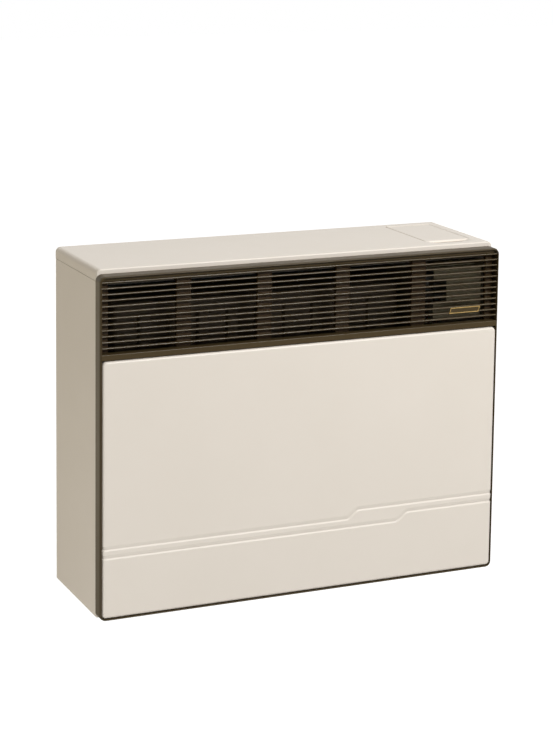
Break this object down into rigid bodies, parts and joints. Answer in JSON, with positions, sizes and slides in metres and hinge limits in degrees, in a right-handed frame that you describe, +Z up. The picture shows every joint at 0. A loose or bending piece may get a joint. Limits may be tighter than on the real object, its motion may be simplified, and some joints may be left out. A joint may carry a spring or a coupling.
{
  "type": "wall mounted gas heater",
  "caption": "Wall mounted gas convector heater with a balanced flue, louvred warm air grille, plain front panel and a hinged flap over its controls.",
  "frame": {"origin": "on the wall face of the back plate, on the heater's centre line, level with its two lower fixing screws", "axes": "+X to the right seen from the room, +Y into the wall, +Z up"},
  "size_m": [0.74, 0.295, 0.5901],
  "materials": {
    "cream_enamel": "satin baked enamel",
    "brown_enamel": "satin baked enamel",
    "black_enamel": "matt heat-proof enamel",
    "galvanised": "zinc spangle",
    "steel": "zinc plated",
    "aluminium": "as cast or as drawn",
    "brass": "machined",
    "copper": "drawn tube",
    "gold_trim": "polished",
    "black_plastic": "fine grain",
    "red_plastic": "moulded",
    "ceramic": "glazed",
    "fibre": "pressed fibre",
    "glass": "clear"
  },
  "bodies": {
    "case": {"front_frame": "brown_enamel", "grille": "brown_enamel", "badge_bar": "gold_trim", "front_panel": "cream_enamel", "side_panel_left": "cream_enamel", "side_panel_right": "cream_enamel", "top_lid": "cream_enamel", "flap_hinge_pin": "steel", "panel_clip_right": "steel", "panel_clip_left": "steel", "frame_screw_1": "steel", "frame_screw_2": "steel", "frame_screw_3": "steel", "frame_screw_4": "steel", "back_plate": "galvanised", "partition": "galvanised", "bottom_rail": "galvanised", "air_deflector": "galvanised", "control_bracket": "brown_enamel", "inlet_bracket": "galvanised", "heat_exchanger": "black_enamel", "burner_door_gasket": "fibre", "burner_door": "black_enamel", "sight_glass": "glass", "sight_frame": "steel", "heat_shield": "galvanised", "air_box": "galvanised", "air_duct": "aluminium", "exhaust_gasket": "fibre", "exhaust_duct": "aluminium", "burner_tube": "steel", "burner_support": "steel", "injector": "brass", "pilot_burner": "brass", "thermocouple": "copper", "spark_electrode": "ceramic", "ignition_lead": "black_plastic", "gas_valve": "aluminium", "igniter_body": "black_plastic", "igniter_nut": "steel", "gas_inlet": "brass", "supply_pipe": "copper", "burner_pipe": "copper", "pilot_pipe": "copper"},
    "flap": {"control_flap": "cream_enamel"},
    "spindle": {"valve_spindle": "brass"},
    "knob": {"control_knob": "black_plastic"},
    "igniter": {"igniter_button": "red_plastic"}
  },
  "joints": [
    {"name": "flap_hinge", "type": "hinge", "parent": "case", "child": "flap", "pos_m": [0.3, -0.024, 0.5256], "axis": [-1, 0, 0], "range_deg": [0, 94]},
    {"name": "valve_turn", "type": "hinge", "parent": "case", "child": "spindle", "pos_m": [0.3, -0.12, 0.48], "axis": [0, 0, 1], "range_deg": [0, 240]},
    {"name": "knob_push", "type": "slide", "parent": "spindle", "child": "knob", "axis": [0, 0, -1], "range_m": [0, 0.004], "stiffness_N_per_m": 800, "springref_m": -0.003},
    {"name": "igniter_push", "type": "slide", "parent": "case", "child": "igniter", "axis": [0, 0, -1], "range_m": [0, 0.005], "stiffness_N_per_m": 900, "springref_m": -0.003}
  ]
}
